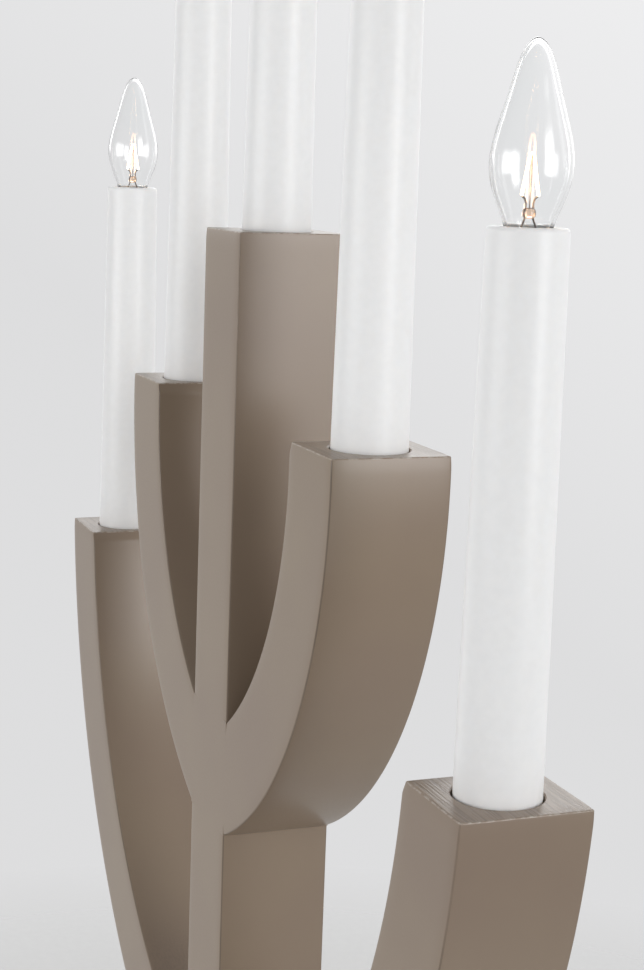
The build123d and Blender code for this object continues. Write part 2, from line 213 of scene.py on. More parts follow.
# %% [markdown]
# ## Materials
# One function turns the hex code of a colour as seen into the shader's linear colour, one adds a node, and
# one starts a material. The Scale of a noise pattern is the number of its spots along a metre.

# %% Colour and node helpers
NOISE_SPREAD = {"From Min": 0.35, "From Max": 0.65}  # nearly all of a noise pattern lies between these


def linear(code):
    """Linear colour of an sRGB hex code."""
    seen = np.array([int(code[k : k + 2], 16) for k in (1, 3, 5)]) / 255
    light = np.where(seen <= 0.04045, seen / 12.92, ((seen + 0.055) / 1.055) ** 2.4)
    return (*light.tolist(), 1.0)


def node(tree, kind, inputs=None, **settings):
    """Add a node, set its settings, and give each input a value or a link from another node's output.

    On a Mix node that mixes colours, inputs 6 and 7 are the two colours and output 2 is the result.
    """
    added = tree.nodes.new(kind)
    for key, value in settings.items():
        setattr(added, key, value)
    for key, value in (inputs or {}).items():
        if isinstance(value, bpy.types.NodeSocket):
            tree.links.new(value, added.inputs[key])
        else:
            added.inputs[key].default_value = value
    return added


def material(name, **surface):
    """New material with a Principled surface. Returns it, its tree, its shader and its coordinates."""
    made = bpy.data.materials.new(name)
    made.use_nodes = True
    tree = made.node_tree
    shader = tree.nodes["Principled BSDF"]
    for key, value in surface.items():
        shader.inputs[key.replace("_", " ").title().replace("Ior", "IOR")].default_value = value
    place = node(tree, "ShaderNodeTexCoord").outputs["Object"]
    return made, tree, shader, place


# %% [markdown]
# ## Lacquered wood
# The wood has a satin lacquer of a warm grey-brown, sprayed over sanded timber. It hides the grain's
# colour. Its own tone drifts a little over a few centimetres, so a slow noise runs between two close tones.

# %% Lacquer: tone
lacquer, tree, shader, place = material("satin greige lacquer on wood", ior=1.5)
inputs = {"Vector": place, "Scale": 22.0, "Detail": 3.0}  # clouds about 45 mm across
slow = node(tree, "ShaderNodeTexNoise", inputs).outputs["Fac"]
tone = node(tree, "ShaderNodeValToRGB", {"Fac": slow})
tone.color_ramp.elements[0].position = 0.3
tone.color_ramp.elements[0].color = linear("#8C7B6C")
tone.color_ramp.elements[1].position = 0.7
tone.color_ramp.elements[1].color = linear("#928270")
print("material:", lacquer.name)

# %% [markdown]
# On the level tops the saw's marks show through the coat as darker streaks. They lie about 0.6 mm apart
# and run some 20 mm across the arch, so the noise is stretched along X. How far a face looks up says
# where the tops are.

# %% Lacquer: saw streaks on the tops
along = node(tree, "ShaderNodeMapping", {"Vector": place, "Scale": (0.03, 1.0, 1.0)})
inputs = {"Vector": along.outputs["Vector"], "Scale": 1700.0, "Detail": 4.0}
streak = node(tree, "ShaderNodeTexNoise", inputs).outputs["Fac"]
inputs = {"Value": streak, "From Min": 0.45, "From Max": 0.6, "To Max": 0.5}
dark = node(tree, "ShaderNodeMapRange", inputs).outputs["Result"]
normal = node(tree, "ShaderNodeNewGeometry").outputs["Normal"]
upward = node(tree, "ShaderNodeSeparateXYZ", {"Vector": normal}).outputs["Z"]
inputs = {"Value": upward, "From Min": 0.8, "From Max": 0.98}
level = node(tree, "ShaderNodeMapRange", inputs).outputs["Result"]
sawn = node(tree, "ShaderNodeMath", {0: dark, 1: level}, operation="MULTIPLY").outputs[0]
colours = {"Factor": sawn, 6: tone.outputs["Color"], 7: linear("#6B5F55")}
streaked = node(tree, "ShaderNodeMix", colours, data_type="RGBA").outputs[2]

# %% [markdown]
# At the upright edges a darker line is painted in as shade, in some places more than in others. Along the
# top edges pale spots are painted in as highlight. The mark of each point, 1 on upright edges and -1 on top
# edges, says where.

# %% Lacquer: painted shade on the upright edges, painted highlight on the top edges
mark = node(tree, "ShaderNodeAttribute", attribute_name="mark").outputs["Fac"]
inputs = {"Value": slow, **NOISE_SPREAD, "To Min": 0.15, "To Max": 0.6}
uneven = node(tree, "ShaderNodeMapRange", inputs).outputs["Result"]
# painted shade: a darker line along the upright edges, stronger where the slow noise is higher
inputs = {"Value": mark, "From Min": 0.2, "From Max": 1.0, "To Max": uneven}
painted_edge_shade = node(tree, "ShaderNodeMapRange", inputs).outputs["Result"]
colours = {"Factor": painted_edge_shade, 6: streaked, 7: linear("#4F4339")}
edged = node(tree, "ShaderNodeMix", colours, data_type="RGBA").outputs[2]
inputs = {"Vector": place, "Scale": 700.0, "Detail": 4.0}  # spots of painted highlight about 1.4 mm apart
highlight_spots = node(tree, "ShaderNodeTexNoise", inputs).outputs["Fac"]
inputs = {"Value": highlight_spots, "From Min": 0.42, "From Max": 0.66}
highlight_spots = node(tree, "ShaderNodeMapRange", inputs).outputs["Result"]
# painted highlight: pale spots along the top edges, where the fine noise is high
inputs = {"Value": mark, "From Min": -0.2, "From Max": -1.0, "To Max": 0.5}
painted_edge_highlight = node(tree, "ShaderNodeMapRange", inputs).outputs["Result"]
painted_edge_highlight = node(tree, "ShaderNodeMath", {0: painted_edge_highlight, 1: highlight_spots}, operation="MULTIPLY").outputs[0]
colours = {"Factor": painted_edge_highlight, 6: edged, 7: linear("#CFC8BE")}
finished = node(tree, "ShaderNodeMix", colours, data_type="RGBA").outputs[2]
tree.links.new(finished, shader.inputs["Base Color"])

# %% [markdown]
# A sprayed coat dries with a slight orange peel, which also makes its gloss vary. The saw's streaks are
# sunk into it.

# %% Lacquer: relief and gloss
inputs = {"Vector": place, "Scale": 1400.0, "Detail": 2.0}  # dimples about 0.7 mm apart
peel = node(tree, "ShaderNodeTexNoise", inputs).outputs["Fac"]
inputs = {"Height": peel, "Strength": 0.08, "Distance": 0.1 * MM}
relief = node(tree, "ShaderNodeBump", inputs).outputs["Normal"]
inputs = {"Height": sawn, "Strength": 0.35, "Distance": 0.2 * MM, "Normal": relief}
relief = node(tree, "ShaderNodeBump", inputs, invert=True).outputs["Normal"]
inputs = {"Value": peel, "To Min": 0.26, "To Max": 0.36}
gloss = node(tree, "ShaderNodeMapRange", inputs).outputs["Result"]
tree.links.new(gloss, shader.inputs["Roughness"])
tree.links.new(relief, shader.inputs["Normal"])
print(lacquer.name, "nodes:", len(tree.nodes))

# %% [markdown]
# ## Plainer finishes
# Every other surface follows one recipe: a noise pattern of the real size of its mottling, fibres or brush
# marks varies the colour between two close tones, the gloss within a range, and the relief.

# %% One recipe for the plainer finishes
def finish(name, tones, scale, roughness, depth, stretch=(1.0, 1.0, 1.0), **surface):
    """Material whose colour, gloss and relief follow one noise pattern.

    tones are its two colours, scale the number of spots along a metre, roughness its range, depth the
    relief in millimetres, and stretch below 1 makes the spots longer along that axis.
    """
    made, tree, shader, place = material(name, **surface)
    place = node(tree, "ShaderNodeMapping", {"Vector": place, "Scale": stretch}).outputs["Vector"]
    inputs = {"Vector": place, "Scale": scale, "Detail": 3.0}
    spots = node(tree, "ShaderNodeTexNoise", inputs).outputs["Fac"]
    share = node(tree, "ShaderNodeMapRange", {"Value": spots, **NOISE_SPREAD}).outputs["Result"]
    colours = {"Factor": share, 6: linear(tones[0]), 7: linear(tones[1])}
    colour = node(tree, "ShaderNodeMix", colours, data_type="RGBA").outputs[2]
    inputs = {"Value": share, "To Min": roughness[0], "To Max": roughness[1]}
    gloss = node(tree, "ShaderNodeMapRange", inputs).outputs["Result"]
    inputs = {"Height": spots, "Strength": 0.5, "Distance": depth * MM}
    relief = node(tree, "ShaderNodeBump", inputs).outputs["Normal"]
    tree.links.new(colour, shader.inputs["Base Color"])
    tree.links.new(gloss, shader.inputs["Roughness"])
    tree.links.new(relief, shader.inputs["Normal"])
    print("material:", name)
    return made


# %% [markdown]
# ### White plastic of the candles
# A moulded tube of satin white plastic, thin enough for a little light to go through: it spreads about a
# millimetre under the skin. The mould leaves fine, shallow dimples some 2 mm apart.

# %% White plastic
plastic = finish(
    "satin white candle plastic",
    ("#F6F6F6", "#F8F8F8"),
    500.0,
    (0.38, 0.42),
    0.001,
    ior=1.49,
    subsurface_weight=0.35,
    subsurface_radius=(1.0, 0.95, 0.9),
    subsurface_scale=1.2 * MM,
)

# %% [markdown]
# ### Glass and wires of the bulbs
# Blown glass is not quite even: slow waves in its surface, about 17 mm long, make the reflections swell and
# thin out. The bead is pressed from a warmer glass, and the drawn nickel wires are mottled by the heat.

# %% Glass and wires
clear = {"ior": 1.5, "transmission_weight": 1.0}
pressed = {"ior": 1.52, "transmission_weight": 1.0}
glass = finish("clear blown glass", ("#FDFEFE", "#FFFFFF"), 60.0, (0.0, 0.01), 0.2, **clear)
bead_glass = finish("bead glass", ("#F0CDB0", "#F6DCC6"), 500.0, (0.04, 0.08), 0.1, **pressed)
wire = finish("nickel lead wire", ("#75675C", "#8F8378"), 1500.0, (0.25, 0.4), 0.02, metallic=1.0)

# %% [markdown]
# ### The lit filament
# The filament is tungsten, white hot along each leg and cooler at the hook that draws heat from it. The
# mark of its points goes from 0 at the hook to 1 at the leads.

# %% Glowing tungsten
tungsten, tree, shader, _ = material(
    "glowing tungsten", base_color=linear("#4A4038"), roughness=0.5, metallic=1.0
)
hot = node(tree, "ShaderNodeAttribute", attribute_name="mark").outputs["Fac"]
inputs = {"Value": hot, "From Min": 0.1, "From Max": 0.5, "To Min": 8.0, "To Max": 60.0}
heat = node(tree, "ShaderNodeMapRange", inputs).outputs["Result"]
colours = {"Factor": hot, 6: linear("#FFB987"), 7: linear("#FFE3BC")}
glow = node(tree, "ShaderNodeMix", colours, data_type="RGBA").outputs[2]
tree.links.new(glow, shader.inputs["Emission Color"])
tree.links.new(heat, shader.inputs["Emission Strength"])
print("material:", tungsten.name)

# %% [markdown]
# ### Small parts that stay as they are
# Felt, rubber, screws, wires and lampholder keep their CAD shapes and get the material they are made of.
# Felt is matted fibre with tufts 0.4 mm apart, the beech dowels have grain along them about a millimetre
# apart, and the turned brass carries tool marks round its axis.

# %% Materials of the small parts
felt = finish("dark felt", ("#332F2B", "#453F3A"), 2500.0, (0.9, 1.0), 0.3)
steel = finish("zinc-plated steel", ("#A9AAA8", "#C2C3C2"), 900.0, (0.22, 0.38), 0.02, metallic=1.0)
rubber = finish("white rubber", ("#D6D5CF", "#E0DFDA"), 1200.0, (0.6, 0.78), 0.04)
beech = finish("beech", ("#BF9A70", "#D2AF86"), 900.0, (0.5, 0.65), 0.05, (0.08, 1.0, 1.0))
insulation = finish("white wire insulation", ("#DEDBD3", "#E9E6DF"), 600.0, (0.38, 0.5), 0.02)
holder = finish("lampholder plastic", ("#D3CFC6", "#DEDAD2"), 800.0, (0.42, 0.55), 0.02)
brass = finish("brass", ("#BC9650", "#D2AF68"), 800.0, (0.2, 0.36), 0.02, (1.0, 1.0, 6.0), metallic=1.0)
KEPT = {
    "base": lacquer,
    "foot_pads": felt,
    "base_screws": steel,
    "inlet_grommet": rubber,
    "arm_dowels": beech,
    "supply_wires": insulation,
    "link_wires": insulation,
    "candle_leads": insulation,
    "lampholder": holder,
    "holder_shell": brass,
    "spring_contact": brass,
    "bulb_cap": brass,
}
for kind, surface in KEPT.items():
    for name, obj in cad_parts.items():
        if name.startswith(kind):
            obj.data.materials.clear()
            obj.data.materials.append(surface)
print("kept CAD kinds:", sorted(KEPT))

# %% [markdown]
# ## Post and arms
# On the real arch the arms are glued to the post and the whole is lacquered, so no seam shows where they
# are flush. Each piece is one section carried along its line: straight up for the post, round an arc for
# an arm. The section is a rectangle with softened corners and a slot in its back for the wires. Sanding by
# hand never leaves a face flat right up to its edge: it falls away a little, which a satin lacquer shows.

# %% Section across a wooden bar
CORNER_GAP = 0.3  # between a corner's rounding and the first point of the face beside it


def sanded(distance):
    """Depth that sanding took off at this distance from an edge: a parabola that ends at SANDED's width."""
    width, depth = SANDED
    return depth * np.clip(1 - distance / width, 0, None) ** 2


def section(half, back, radius, inset, slot_half, slot_depth):
    """Rings across a wooden bar, one per row, as distances across (u) and along the depth (y).

    Each ring is a rectangle from -half to half and from the front to the back, moved in by inset, with
    quarter circles of the given radius for corners and a slot in the middle of the back. Each argument
    is one number or one number per row. A third array marks the points on the free corners with 1.
    """
    values = np.broadcast_arrays(*np.atleast_1d(half, back, radius, inset, slot_half, slot_depth))
    half, back, radius, inset, slot_half, slot_depth = [value.reshape(-1, 1) for value in values]
    free = radius > 0
    half = half - inset
    back = back - inset
    front = inset - DEPTH_HALF
    radius = np.maximum(radius - inset, 0)
    turn = np.linspace(0, np.pi / 2, 6)  # round a corner
    run = np.sin(np.pi / 2 * np.linspace(-1, 1, 17))  # along a face, closer together towards its ends
    share = np.linspace(0, 1, 6)  # from a corner of the back to the slot
    flat = half - radius - CORNER_GAP
    middle = (front + back) / 2
    reach = (back - front) / 2 - radius - CORNER_GAP
    near = half - radius
    far = radius * np.sin(turn)
    off = radius * np.cos(turn)
    back_half = flat + (slot_half - flat) * share
    floor = slot_half * np.linspace(1, -1, 5)  # across the slot's floor
    u = [
        flat * run, near + far, half + 0 * run, near + off,
        back_half, floor, -back_half[:, ::-1],
        -near - far, -half + 0 * run, -near - off,
    ]
    y = [
        front + 0 * run, front + radius - off, middle + reach * run, back - radius + far,
        back + 0 * share, back - slot_depth + 0 * floor, back + 0 * share,
        back - radius + off, middle - reach * run, front + radius - far,
    ]
    rows = len(half)
    u = np.concatenate([np.broadcast_to(part, (rows, part.shape[-1])) for part in u], axis=1)
    y = np.concatenate([np.broadcast_to(part, (rows, part.shape[-1])) for part in y], axis=1)
    arc = (turn > 0) & (turn < np.pi / 2)
    flank = np.concatenate([arc, 0 * run, arc])
    corner = free * np.concatenate([0 * run, flank, 0 * share, 0 * floor[0], 0 * share, flank])
    narrowed = 1 - free * sanded(back - np.abs(y)) / half
    thinned = 1 - free * sanded(half - np.abs(u)) / DEPTH_HALF
    return u * narrowed, y * thinned, corner


# %% [markdown]
# The tops are finished alike on post and arms: the edge is rounded over by the same radius as the corners,
# and the candle's seat is bored into the middle with a small bevel at its mouth.

# %% Softened tops and bored seats
rounding = np.linspace(0, np.pi / 2, 6)[1:]  # the turn of the softened edge at the top
top_inset = ARRIS * (1 - np.cos(rounding))
top_rise = ARRIS * np.sin(rounding)


def seat_rows(ring, x, top):
    """Rows from a ring on the wood's top inwards: the candle's bored seat, the well below, and its floor.

    Each point keeps its direction from the candle's axis while its distance and depth step down.
    """
    angle = np.arctan2(ring[:, 1], ring[:, 0] - x)
    mouth = SEAT_RADIUS + SEAT_BEVEL
    distance = np.array([mouth, SEAT_RADIUS, SEAT_RADIUS, WELL_RADIUS, WELL_RADIUS, 0])[:, None]
    depth = np.array([0, SEAT_BEVEL, SEAT_DEPTH, SEAT_DEPTH, WELL_DEPTH, WELL_DEPTH])[:, None]
    across = x + distance * np.cos(angle)
    along = distance * np.sin(angle)
    return np.stack([across, along, top - depth + 0 * angle], axis=-1)


def edge_marks(grid, corner):
    """One number per point of a wooden piece: 1 on the upright edges, -1 on the top ones, else 0."""
    marks = np.zeros(grid.shape[:2])
    marks[: len(corner)] = corner
    marks[len(corner) - len(top_rise) : len(corner)] = -1
    marks[len(corner) - 1] = 0
    return marks


# %% [markdown]
# ### Arms
# A point of the section at distance u from the arc runs along a circle of radius R + u. It starts where
# that circle leaves the post's side and ends where it reaches the level top, so both ends are cut square
# to the object and not to the arc.

# %% Arms
ARM_ROWS = (73, 4, 25)  # rows along the arc, past the slot, and from there to the softened edge


def arm_grid(arm, sign):
    """Grid of one arm: the section carried along the arc, the softened top, and the candle's seat."""
    radius, past, centre_z, top = ARMS[arm]
    entry = top - ENTRY_DROP
    low = entry - SLOT_REACH[0]
    high = entry + SLOT_REACH[1]
    plain = (GROOVE[0], 0.0)
    arc_rows, slot_rows, top_rows = ARM_ROWS
    # Each stage: share of the way along the arc, level of the cut, half width and depth of the slot
    stages = [
        (np.linspace(0, 1, arc_rows), np.full(arc_rows, low), GROOVE),
        (np.ones(slot_rows), np.linspace(low, high, slot_rows), SLOT),
        (np.ones(top_rows), np.linspace(high, top - ARRIS, top_rows), plain),
        (np.ones(len(top_rise)), top - ARRIS + top_rise, plain),
    ]
    share = np.concatenate([stage[0] for stage in stages])[:, None]
    level = np.concatenate([stage[1] for stage in stages])[:, None]
    slot = np.concatenate([np.tile(stage[2], (len(stage[0]), 1)) for stage in stages])
    inset = sanded(np.clip(top - ARRIS - level.ravel(), 0, None))
    inset[-len(top_inset) :] += top_inset
    u, y, corner = section(ARM_HALF, DEPTH_HALF, ARRIS, inset, slot[:, 0], slot[:, 1])
    reach = radius + u
    start = -np.arccos((POST_HALF + past) / reach)
    angle = (1 - share) * start + share * np.arcsin((level - centre_z) / reach)
    x = reach * np.cos(angle) - past
    z = centre_z + reach * np.sin(angle)
    width, height, fade = EASED
    x += width * np.clip((z - top) / height + 1, 0, 1) * np.clip((-u - ARM_HALF) / fade + 1, 0, 1)
    grid = np.stack([x, y, z], axis=-1)
    grid = np.concatenate([grid, seat_rows(grid[-1], arc_x(arm, radius, top), top)])
    grid[..., 0] *= sign
    return grid[:, ::sign], edge_marks(grid, corner)[:, ::sign]


for arm in ARMS:
    for side, sign in SIDES.items():
        name = f"{arm}_arm_{side}"
        grid, marks = arm_grid(arm, sign)
        piece(f"{name}_wood", "frame", lacquer, [grid], [name], capped=True, marks=marks)

# %% [markdown]
# ### Post
# The post's section runs straight up. Its edges are softened only where they are free: beside the arms
# they stay square, so that post and arms read as one surface. In the back, a round recess at each pair of
# arms joins the grooves, which there run out to both sides.

# %% Post
STRETCH_ROWS = 25  # rows in each stretch of the post


def post_grid():
    """Grid of the post: the section carried up in stretches, the softened top, and the candle's seat."""
    entry = POST_TOP - ENTRY_DROP
    # Each stretch: the height of its upper end, and its kind
    stretches = [(BASE_TOP, None)]
    for arm in ARMS:
        radius = ARMS[arm][0]
        stretches.append((arc_z(arm, radius + ARM_HALF, POST_HALF), "free"))
        stretches.append((arc_z(arm, radius + GROOVE[0], POST_HALF), "joint"))
        stretches.append((arc_z(arm, radius - GROOVE[0], POST_HALF), "crossing"))
        stretches.append((arc_z(arm, radius - ARM_HALF, POST_HALF), "joint"))
    stretches.append((entry - SLOT_REACH[0], "free"))
    stretches.append((entry + SLOT_REACH[1], "slot"))
    stretches.append((POST_TOP - ARRIS, "plain"))
    levels = [np.linspace(a[0], b[0], STRETCH_ROWS) for a, b in zip(stretches, stretches[1:])]
    kinds = np.repeat([kind for _, kind in stretches[1:]], STRETCH_ROWS)
    z = np.concatenate(levels + [POST_TOP - ARRIS + top_rise])
    kinds = np.concatenate([kinds, ["plain"] * len(top_rise)])
    inset = sanded(np.clip(POST_TOP - ARRIS - z, 0, None))
    inset[-len(top_inset) :] += top_inset
    junctions = np.array([arc_z(arm, ARMS[arm][0], 0) for arm in ARMS])
    recess = np.sqrt(np.clip(RECESS_RADIUS**2 - (z[:, None] - junctions) ** 2, 0, None)).max(1)
    slot_half = np.where(kinds == "slot", SLOT[0], np.maximum(recess, GROOVE[0]))
    slot_depth = np.where(kinds == "slot", SLOT[1], GROOVE[1])
    slot_depth = np.where((kinds == "plain") | (kinds == "crossing"), 0.0, slot_depth)
    back = np.where(kinds == "crossing", DEPTH_HALF - GROOVE[1], DEPTH_HALF)
    radius = np.where((kinds == "joint") | (kinds == "crossing"), 0.0, ARRIS)
    u, y, corner = section(POST_HALF, back, radius, inset, slot_half, slot_depth)
    grid = np.stack([u, y, z[:, None] + 0 * u], axis=-1)
    grid = np.concatenate([grid, seat_rows(grid[-1], 0.0, POST_TOP)])
    return grid, edge_marks(grid, corner)


grid, marks = post_grid()
name = "centre_post"
piece(f"{name}_wood", "frame", lacquer, [grid], [name], capped=True, marks=marks)

# %% [markdown]
# ## Candles
# Each candle is a moulded tube that tapers a little, with a rounded rim and a hole for the bulb's neck.
# Its profile goes up the outside, over the rim and down the inside, and is turned about the axis.

# %% Candle tubes
TUBE_FOOT = (8.05, 9.25)  # radius inside and outside at the foot
TUBE_TOP = (6.9, 8.1)  # radius inside and outside at the top
LID = (4.92, 1.5)  # radius of the hole in the lid, and the lid's thickness
TUBE_ROUNDING = [0.2, 0.9, 0.5, 0.1, 0.1]  # at the foot, the rim, the hole and the two corners inside

foot = -CANDLE_HEIGHT - SEAT_DEPTH
lid_hole, lid_depth = LID
tube_corners = [
    (TUBE_FOOT[0], foot),
    (TUBE_FOOT[1], foot),
    (TUBE_TOP[1], 0.0),
    (lid_hole, 0.0),
    (lid_hole, -lid_depth),
    (TUBE_TOP[0], -lid_depth),
    (TUBE_FOOT[0], foot),
]
tube_line = rounded_path(tube_corners, TUBE_ROUNDING, steps=8)
for name, (x, wood_top) in CANDLES.items():
    rim = wood_top + CANDLE_HEIGHT
    tube_name = f"candle_tube_{name}"
    grid = revolve(tube_line, x, rim, columns=128)
    piece(f"{tube_name}_plastic", f"candle_{name}", plastic, [grid], [tube_name])

# %% [markdown]
# ## Flame bulbs
# The glass is blown into a flame: a narrow neck flares to a belly and runs out to a round tip. The inside
# is the same line moved in by the wall, square to it, so light bends in a real thin wall.

# %% Bulb glass
BULB_HEIGHT = 35.4  # of the glass above the candle's rim
WALL = 0.7
FLAME = [4.85, 10.63, 81.1, -300.83, 342.96, -128.28]  # the outline's polynomial, from the constant up
NECK = (4.35, -5.0, -2.0)  # radius of the neck in the cap, and the heights of its foot and its shoulder
HOLLOW = (3.75, -4.0, -1.4)  # the same of the hollow in the neck


def flame(points=64):
    """Outline of the flame from the neck up to the tip.

    With t the share of the height, the radius is the square root of 1 - t, which rounds the tip, times a
    polynomial in t, which makes neck, belly and shoulder. Steps are even in the square root.
    """
    root = np.linspace(1, 0, points)
    share = 1 - root**2
    radius = root * np.polynomial.polynomial.polyval(share, FLAME)
    return np.stack([radius, BULB_HEIGHT * share], axis=-1)


def moved_in(line, distance):
    """The same line, each point moved square to it towards the axis."""
    step = np.gradient(line, axis=0)
    step /= np.linalg.norm(step, axis=1, keepdims=True)
    inner = line + distance * np.stack([-step[:, 1], step[:, 0]], axis=-1)
    inner[-1] = (0, line[-1, 1] - distance)
    return np.maximum(inner, (0, -np.inf))


outline = flame()
radius, foot, shoulder = NECK
neck_out = np.array([(0.0, foot), (radius, foot), (radius, shoulder), (FLAME[0], shoulder)])
radius, foot, shoulder = HOLLOW
neck_in = np.array([(radius, shoulder), (radius, foot), (0.0, foot)])
bulb_line = np.concatenate([neck_out, outline, moved_in(outline, WALL)[::-1], neck_in])
for name, (x, wood_top) in CANDLES.items():
    rim = wood_top + CANDLE_HEIGHT
    glass_name = f"bulb_glass_{name}"
    grid = revolve(bulb_line, x, rim, columns=128)
    piece(f"{glass_name}_blown", f"bulb_{name}", glass, [grid], [glass_name], sharp=50)

# %% [markdown]
# ## Mount and filament
# Inside, two lead wires come up through a glass bead and spread to hold the ends of the filament, which
# hangs over a hook. The filament is a fine coil: a helix about its own bent line. All of them lie in the
# upright plane through the bulb's axis, so a line needs only its places along the depth and its heights.

# %% Lines of the mount, and the helix
BEAD = [(0, 1.6), (1.3, 1.6), (1.3, 3.7), (0, 3.7)]  # profile: distance from the axis, height from the rim
BEAD_ROUNDING = 0.8
LEAD = [(1.9, -4.0), (1.5, 0.0), (0.9, 1.6), (0.8, 4.6), (1.1, 5.4), (1.75, 5.9)]  # depth, height
LEAD_ROUNDING = [0.8, 0.8, 0.8, 0.5]
LEAD_RADIUS = 0.2
HOOK = [(0, 3.2), (0, 12.9), (0.35, 13.35), (0.0, 13.4)]
HOOK_ROUNDING = [0.3, 0.08]
HOOK_RADIUS = 0.12
FILAMENT = [(-1.8, 5.95), (-0.35, 13.8), (0.35, 13.8), (1.8, 5.95)]
FILAMENT_ROUNDING = 0.3
COIL_RADIUS = 0.22
COIL_TURNS = 48
COIL_WIRE = 0.1  # radius of the wire, a little thicker than the real one so that it shows
ACROSS = np.array([1.0, 0.0, 0.0])  # square to the upright plane of the mount


def upright(points, x, z):
    """Points (along the depth, height) as places in the upright plane at x, from height z."""
    points = np.asarray(points, float)
    return np.stack([np.full(len(points), x), points[:, 0], z + points[:, 1]], axis=-1)


def coil(path, radius, turns, per_turn=12):
    """Helix about a path in an upright plane: it goes round the path's line while it moves along it."""
    length = np.r_[0, np.cumsum(np.linalg.norm(np.diff(path, axis=0), axis=1))]
    at = np.linspace(0, length[-1], turns * per_turn)
    line = np.stack([np.interp(at, length, path[:, k]) for k in range(3)], axis=-1)
    forward = np.gradient(line, axis=0)
    forward /= np.linalg.norm(forward, axis=1, keepdims=True)
    second = np.cross(forward, ACROSS)
    angle = np.linspace(0, 2 * np.pi * turns, len(at))[:, None]
    return line + radius * (ACROSS * np.cos(angle) + second * np.sin(angle)), forward


# %% [markdown]
# Each bulb gets its leads and hook as one piece of wire, its bead, and its coil. The coil's points are
# marked by how far they are from the hook, for the glow.

# %% Bead, leads, hook and coil of each bulb
bead_line = rounded_path(BEAD, BEAD_ROUNDING, steps=8)
hook_line = rounded_path(HOOK, HOOK_ROUNDING, steps=6)
filament_line = rounded_path(FILAMENT, FILAMENT_ROUNDING, steps=12)
for name, (x, wood_top) in CANDLES.items():
    rim = wood_top + CANDLE_HEIGHT
    body = f"bulb_{name}"
    wires = []
    for sign in SIDES.values():
        lead_line = rounded_path(np.array(LEAD) * (sign, 1), LEAD_ROUNDING)
        wires.append(tube(upright(lead_line, x, rim), LEAD_RADIUS, ACROSS))
    wires.append(tube(upright(hook_line, x, rim), HOOK_RADIUS, ACROSS))
    mount_name = f"bulb_mount_{name}"
    piece(f"{mount_name}_wires", body, wire, wires, [mount_name])
    piece(f"bulb_bead_{name}", body, bead_glass, [revolve(bead_line, x, rim, columns=32)])
    helix, forward = coil(upright(filament_line, x, rim), COIL_RADIUS, COIL_TURNS)
    filament_name = f"bulb_filament_{name}"
    grid = tube(helix, COIL_WIRE, forward, columns=6)
    from_hook = np.repeat(np.abs(np.linspace(-1, 1, len(grid)))[:, None], grid.shape[1], axis=1)
    piece(f"{filament_name}_coil", body, tungsten, [grid], [filament_name], marks=from_hook)

# %% [markdown]
# ## Floor
# A disc of pale paper under the foot keeps the object's shadow. It fades out before its rim, so no edge of
# it shows against the backdrop.

# %% Floor
FLOOR_RADIUS = 0.4  # metres
FLOOR_FADE = {"From Min": 0.2, "From Max": 0.38, "To Min": 1.0, "To Max": 0.0}  # metres to opacity

# Paper is mottled every 4 mm or so
paper = finish("pale studio paper", ("#DFDFDE", "#E2E2E1"), 250.0, (0.85, 0.95), 0.05)
tree = paper.node_tree
place = node(tree, "ShaderNodeTexCoord").outputs["Object"]
distance = node(tree, "ShaderNodeVectorMath", {0: place}, operation="LENGTH").outputs["Value"]
fade = node(tree, "ShaderNodeMapRange", {"Value": distance, **FLOOR_FADE}).outputs["Result"]
tree.links.new(fade, tree.nodes["Principled BSDF"].inputs["Alpha"])
angle = np.linspace(0, 2 * np.pi, 96, endpoint=False)
disc = np.stack([FLOOR_RADIUS * np.cos(angle), FLOOR_RADIUS * np.sin(angle), 0 * angle], axis=-1)
floor_mesh = bpy.data.meshes.new("floor")
floor_mesh.from_pydata(disc.tolist(), [], [list(range(len(disc)))])
floor_mesh.materials.append(paper)
floor = bpy.data.objects.new("floor", floor_mesh)
bpy.context.scene.collection.objects.link(floor)
print("floor points:", len(disc))

# %% [markdown]
# ## Room
# The room is white, and brightest behind the object, as in front of a lit backdrop. What the camera sees,
# straight or by way of glass and gloss, is a plain pale grey that brightens upwards and to the right. It is
# darker behind the camera, most of all in reflections, so that the lacquer keeps its colour.

# %% Room
AHEAD = (-0.931, 0.365, 0.0)  # level direction in which the camera looks
ROOM_FILL = (0.85, 0.32)  # light from behind the object, and from all round
BACKDROP_SLOPE = (0.085, 0.2165, 0.354)  # how much brighter the backdrop gets along each axis
BACKDROP_LEVEL = (0.7935, 0.735)  # its level without the slope, and the lowest that it goes
ROOM_TURN = {"From Min": 0.3, "From Max": 0.93, "To Max": 1.0}  # from the dark side to straight ahead
ROOM_DARK = {"To Min": 0.82, "To Max": 0.4}  # share of the level on the dark side, seen and reflected

world = bpy.data.worlds.new("white room")
bpy.context.scene.world = world
world.use_nodes = True
tree = world.node_tree
tree.nodes.clear()
ray = node(tree, "ShaderNodeLightPath").outputs
inputs = {0: ray["Is Camera Ray"], 1: ray["Is Glossy Ray"]}
seen = node(tree, "ShaderNodeMath", inputs, operation="MAXIMUM").outputs[0]
inputs = {0: seen, 1: ray["Is Transmission Ray"]}
seen = node(tree, "ShaderNodeMath", inputs, operation="MAXIMUM").outputs[0]
direction = node(tree, "ShaderNodeTexCoord").outputs["Generated"]
inputs = {0: direction, 1: AHEAD}
ahead = node(tree, "ShaderNodeVectorMath", inputs, operation="DOT_PRODUCT").outputs["Value"]
behind = node(tree, "ShaderNodeMath", {0: ahead, 1: 0.0}, operation="MAXIMUM").outputs[0]
inputs = {0: behind, 1: ROOM_FILL[0], 2: ROOM_FILL[1]}
fill = node(tree, "ShaderNodeMath", inputs, operation="MULTIPLY_ADD").outputs[0]
light = node(tree, "ShaderNodeBackground", {"Color": linear("#FFFFFF"), "Strength": fill})
inputs = {0: direction, 1: BACKDROP_SLOPE}
slope = node(tree, "ShaderNodeVectorMath", inputs, operation="DOT_PRODUCT").outputs["Value"]
